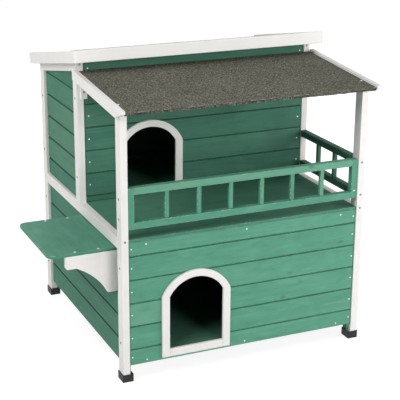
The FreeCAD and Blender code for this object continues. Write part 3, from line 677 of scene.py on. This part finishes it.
felt_piece("porch_felt", "house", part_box("porch_felt")[0].y, (110, 20), 101)
felt_piece("lid_felt", "lid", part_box("lid_felt")[1].y, (60, 20), 102)


# Hardware: one head or cap is modelled and copied to every place that the solids give

# heads past these places in x and y look to the right and to the rear
TURN_OUT = (0.0, 150 * MM)
# the cross recess in shares of the head's radius, and its depth as a share of the head's height
RECESS_LENGTH = 1.25
RECESS_WIDTH = 0.3
RECESS_DEPTH = 0.6
MOST_TURN = 1.5
LEAF_EASED = 0.3 * MM
PIN_EASED = 0.4 * MM
PORCH_SLOPE = math.radians(4.6)
FELT_NAIL_Y = -299 * MM
FELT_NAIL_INSET = 7 * MM
FELT_NAIL_RADIUS = 3.0 * MM
FELT_NAIL_HEIGHT = 1.0 * MM
CAP_CORNER = 1.5 * MM
CAP_TOE = 1.0 * MM
CAP_RIM = 2.16 * MM
CAP_BASE = 4.0 * MM


def solid_boxes(node):
    """Lowest and highest corner of every loose solid of a node."""
    copy = take_copy(node, "places")
    bpy.ops.object.mode_set(mode="OBJECT")
    mesh = bmesh.new()
    mesh.from_mesh(copy.data)
    boxes = []
    for solid in loose_parts(mesh):
        spots = [vert.co.copy() for vert in solid]
        boxes.append((Vector(map(min, zip(*spots))), Vector(map(max, zip(*spots)))))
    mesh.free()
    bpy.data.objects.remove(copy)
    return boxes


def outward(low, high):
    """The axis of a flat head, pointing away from the house."""
    size = high - low
    axis = min(range(3), key=lambda number: size[number])
    way = Vector((0, 0, 0))
    level = (low[axis] + high[axis]) / 2
    way[axis] = 1.0 if axis == 2 or level > TURN_OUT[axis] else -1.0
    return way


def round_head(radius, height, sides, rim, segments):
    """A disc on the origin whose upper rim is rounded over a share of its height."""
    bpy.ops.object.select_all(action="DESELECT")
    middle = (0, 0, height / 2)
    bpy.ops.mesh.primitive_cylinder_add(vertices=sides, radius=radius, depth=height, location=middle)
    head = bpy.context.object
    bpy.ops.object.transform_apply(location=True, rotation=True, scale=True)
    bpy.ops.object.mode_set(mode="EDIT")
    pick("edges", lambda edge: all(vert.co.z > height / 2 for vert in edge.verts))
    round_edges(height * rim, segments)
    bpy.ops.object.mode_set(mode="OBJECT")
    return head


def screw_head(radius, height):
    """A countersunk head with a cross recess."""
    head = round_head(radius, height, sides=20, rim=0.45, segments=2)
    for length, width in ((RECESS_LENGTH, RECESS_WIDTH), (RECESS_WIDTH, RECESS_LENGTH)):
        bpy.ops.mesh.primitive_cube_add(size=1.0, location=(0, 0, height))
        slot = bpy.context.object
        slot.scale = (radius * length, radius * width, height * 2 * RECESS_DEPTH)
        bpy.ops.object.transform_apply(location=True, rotation=True, scale=True)
        cut = head.modifiers.new("recess", "BOOLEAN")
        cut.operation = "DIFFERENCE"
        cut.solver = "EXACT"
        cut.object = slot
        bpy.context.view_layer.objects.active = head
        bpy.ops.object.modifier_apply(modifier=cut.name)
        bpy.data.objects.remove(slot)
    return head


def nail_head(radius, height):
    """A low dome."""
    return round_head(radius, height, sides=14, rim=0.8, segments=3)


def set_copies(master, moves, name):
    """Copies of one master, each moved its own way, joined into one piece."""
    copies = []
    for move in moves:
        copy = bpy.data.objects.new(name, master.data.copy())
        bpy.context.scene.collection.objects.link(copy)
        copy.data.transform(move)
        copies.append(copy)
    bpy.data.objects.remove(master)
    bpy.ops.object.select_all(action="DESELECT")
    for copy in copies:
        copy.select_set(True)
    bpy.context.view_layer.objects.active = copies[0]
    bpy.ops.object.join()
    piece = bpy.context.object
    piece.name = name
    return piece


def set_heads(master, places, name, seed):
    """Heads that stand on their feet, face their ways and are turned by chance."""
    draw = random.Random(seed)
    moves = []
    for foot, way in places:
        face = way.to_track_quat("Z", "Y").to_matrix().to_4x4()
        moves.append(Matrix.Translation(foot) @ face @ Matrix.Rotation(draw.uniform(0, MOST_TURN), 4, "Z"))
    return set_copies(master, moves, name)


def heads_piece(node, name, make, material, seed, shelf_name=None):
    """Heads at every place of a node; those on top of the shelf can be a bright piece of their own."""
    boxes = solid_boxes(node)
    size = boxes[0][1] - boxes[0][0]
    places, shelf_places = [], []
    for low, high in boxes:
        way = outward(low, high)
        on_shelf = shelf_name is not None and way.z > TOWARDS
        foot = (low + high) / 2 - way * abs((high - low).dot(way)) / 2
        (shelf_places if on_shelf else places).append((foot, way))
    piece = set_heads(make(max(size) / 2, min(size)), places, name, seed)
    fit(piece, [node], "house", material, seed)
    if shelf_places:
        piece = set_heads(make(max(size) / 2, min(size)), shelf_places, shelf_name, seed)
        fit(piece, [], "house", NAIL, seed)


def felt_nails_piece(seed):
    """Two broad nails that hold the porch felt near the rake boards."""
    low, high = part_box("porch_felt")
    way = Vector((0, -math.sin(PORCH_SLOPE), math.cos(PORCH_SLOPE)))
    z = high.z - math.tan(PORCH_SLOPE) * (high.y - FELT_NAIL_Y)
    sides = (low.x + FELT_NAIL_INSET, high.x - FELT_NAIL_INSET)
    places = [(Vector((x, FELT_NAIL_Y, z)), way) for x in sides]
    piece = set_heads(nail_head(FELT_NAIL_RADIUS, FELT_NAIL_HEIGHT), places, "felt_nail_heads", seed)
    fit(piece, [], "house", NAIL, seed)


def foot_cap(size):
    """A moulded box that stands on the origin, with rounded corners and a rim around the post."""
    bpy.ops.object.select_all(action="DESELECT")
    bpy.ops.mesh.primitive_cube_add(size=1.0, location=(0, 0, size.z / 2))
    cap = bpy.context.object
    cap.scale = size
    bpy.ops.object.transform_apply(location=True, rotation=True, scale=True)
    bpy.ops.object.mode_set(mode="EDIT")
    pick("edges", lambda edge: abs(edge.verts[0].co.z - edge.verts[1].co.z) > size.z / 2)
    round_edges(CAP_CORNER, 4)
    pick("edges", lambda edge: all(vert.co.z < SAME_LEVEL for vert in edge.verts))
    round_edges(CAP_TOE, 3)
    pick("faces", lambda face: face.normal.z > FACING)
    bpy.ops.mesh.inset(thickness=CAP_RIM)
    bpy.ops.mesh.extrude_region_move(TRANSFORM_OT_translate={"value": (0, 0, CAP_BASE - size.z)})
    bpy.ops.object.mode_set(mode="OBJECT")
    return cap


def foot_caps_piece(seed):
    """A cap under each of the four tall posts."""
    boxes = solid_boxes("foot_caps")
    cap = foot_cap(boxes[0][1] - boxes[0][0])
    moves = [Matrix.Translation(((low.x + high.x) / 2, (low.y + high.y) / 2, low.z)) for low, high in boxes]
    piece = set_copies(cap, moves, "moulded_foot_caps")
    fit(piece, ["foot_caps"], "house", PLASTIC, seed)


heads_piece("post_screws", "frame_screws", screw_head, SCREW, 111, "shelf_screws")
heads_piece("hinge_screws", "hinge_leaf_screws", screw_head, ZINC, 112)
heads_piece("plank_nails", "plank_nail_heads", nail_head, NAIL, 113)
felt_nails_piece(117)
board_piece("hinge_wall_leaves", "zinc_hinge_wall_leaves", "house", ZINC, 114, LEAF_EASED, 1)
board_piece("hinge_lid_leaves", "zinc_hinge_lid_leaves", "lid", ZINC, 115, LEAF_EASED, 1)
board_piece("hinge_pins", "zinc_hinge_pins", "house", ZINC, 116, PIN_EASED)
foot_caps_piece(121)


# Studio: pale floor, soft light and the camera

WHITE = (1.0, 1.0, 1.0)
UNLIT = (0.0, 0.0, 0.0)
FLOOR_SIZE = 30.0
FLOOR_LIGHT = (0.80, 0.80, 0.80)
FLOOR_SEEN = (0.26, 0.26, 0.26)
FLOOR_GLOW = (0.86, 0.86, 0.86)
GLOW_REACH = (0.55, 1.6)
ROOM_LIGHT = 0.02
HOUSE_MIDDLE = Vector((0.05, 0, 0.4))
SOFTBOXES = {
    "high_left_softbox": ((-2.6, -1.2, 3.0), 2.0, 81),
    "low_left_softbox": ((-3.2, -0.4, 1.4), 2.0, 22),
    "right_softbox": ((2.8, -2.2, 1.0), 2.0, 50),
    "front_softbox": ((1.0, -3.6, 1.35), 1.4, 54),
    "right_rear_softbox": ((2.6, 1.2, 2.4), 1.6, 20),
    "rear_softbox": ((0.2, 3.2, 1.6), 2.4, 48),
}
SENSOR_WIDTH = 36.0
CAMERA_LENS = 104.83
CAMERA_PLACE = (-1.20822, -2.88300, 1.41624)
CAMERA_YAW = math.radians(-24.215)
CAMERA_PITCH = math.radians(18.608)
CAMERA_ROLL = math.radians(0.373)


def studio_floor():
    """A floor that lights the house from below and is seen as white, but for the house's shadow."""
    bpy.ops.object.select_all(action="DESELECT")
    bpy.ops.mesh.primitive_plane_add(size=FLOOR_SIZE, location=(0, 0, 0))
    floor = bpy.context.object
    floor.name = "studio_floor"
    finish = Finish("pale_floor", Roughness=0.9, Specular_IOR_Level=0.0, Emission_Strength=1.0)
    seen = finish.seen()
    reach = finish.node("ShaderNodeVectorMath", {"operation": "LENGTH"}, {0: finish.place()}, out="Value")
    glow = finish.mix(reach.step(*GLOW_REACH), FLOOR_GLOW, WHITE)
    finish.set(Base_Color=finish.mix(seen, FLOOR_LIGHT, FLOOR_SEEN),
               Emission_Color=finish.mix(seen, UNLIT, glow))
    floor.data.materials.append(finish.material)


def studio_world():
    """A weak light from all around, seen as a white backdrop."""
    world = bpy.data.worlds.new("studio")
    bpy.context.scene.world = world
    world.use_nodes = True
    world.node_tree.nodes.remove(world.node_tree.nodes["Background"])
    nodes = Nodes(world.node_tree)
    glow, backdrop = (nodes.node("ShaderNodeBackground", None, {"Color": (*WHITE, 1.0), "Strength": strength})
                      for strength in (ROOM_LIGHT, 1.0))
    mixed = nodes.node("ShaderNodeMixShader", None, {0: nodes.seen(), 1: glow, 2: backdrop})
    nodes.feed(world.node_tree.nodes["World Output"].inputs["Surface"], mixed)


def softbox(name, place, size, power):
    """A square lamp that faces the middle of the house."""
    lamp = bpy.data.lights.new(name, "AREA")
    lamp.shape = "SQUARE"
    lamp.size = size
    lamp.energy = power
    box = bpy.data.objects.new(name, lamp)
    bpy.context.scene.collection.objects.link(box)
    box.location = place
    box.rotation_euler = (HOUSE_MIDDLE - box.location).to_track_quat("-Z", "Y").to_euler()


def photo_camera():
    """The photograph's viewpoint."""
    lens = bpy.data.cameras.new("photo_camera")
    camera = bpy.data.objects.new("photo_camera", lens)
    bpy.context.scene.collection.objects.link(camera)
    bpy.context.scene.camera = camera
    lens.sensor_width = SENSOR_WIDTH
    lens.lens = CAMERA_LENS
    camera.location = CAMERA_PLACE
    turn = Matrix.Rotation(CAMERA_YAW, 3, "Z") @ Matrix.Rotation(math.pi / 2 - CAMERA_PITCH, 3, "X")
    camera.rotation_euler = (turn @ Matrix.Rotation(CAMERA_ROLL, 3, "Z")).to_euler()


studio_floor()
studio_world()
for name, (place, size, power) in SOFTBOXES.items():
    softbox(name, place, size, power)
photo_camera()
bpy.context.scene.view_settings.view_transform = "Standard"
